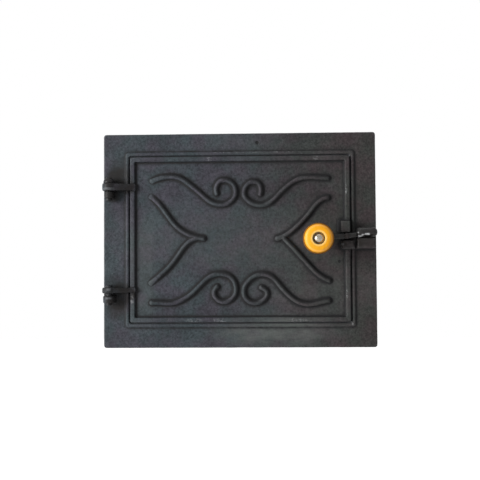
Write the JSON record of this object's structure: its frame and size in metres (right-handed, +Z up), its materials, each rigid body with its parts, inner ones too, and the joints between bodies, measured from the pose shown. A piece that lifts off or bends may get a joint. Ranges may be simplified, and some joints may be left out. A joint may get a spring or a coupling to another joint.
{
  "type": "ash pit door",
  "caption": "Cast-iron ash pit door: a flanged frame with a wall sleeve, a side-hung leaf with raised scrolls, and a turning latch lever with a round wooden knob.",
  "frame": {"origin": "centre of the opening, in the plane of the flange's rear face, which lies on the stove wall", "axes": "+X to the right seen from the front, +Y into the wall, +Z up"},
  "size_m": [0.272, 0.0662, 0.214],
  "materials": {
    "frame_iron": "black painted sand casting",
    "leaf_iron": "black painted sand casting",
    "lever_iron": "glossy black paint",
    "pin_steel": "black painted steel",
    "knob_wood": "amber lacquer on turned wood",
    "screw_steel": "bright plated"
  },
  "bodies": {
    "frame_body": {"frame": "frame_iron", "upper_hinge_pin": "pin_steel", "lower_hinge_pin": "pin_steel"},
    "leaf_body": {"door_leaf": "leaf_iron", "latch_rivet": "pin_steel"},
    "lever_body": {"latch_lever": "lever_iron", "knob": "knob_wood", "knob_washer": "screw_steel", "knob_screw": "screw_steel", "knob_nut": "screw_steel"}
  },
  "joints": [
    {"name": "leaf_swing", "type": "hinge", "parent": "frame_body", "child": "leaf_body", "pos_m": [-0.1298, -0.0125, 0], "axis": [0, 0, -1], "range_deg": [0, 120]},
    {"name": "latch_turn", "type": "hinge", "parent": "leaf_body", "child": "lever_body", "pos_m": [0.1053, -0.0138, 0.0019], "axis": [0, -1, 0], "range_deg": [-8, 6]}
  ]
}
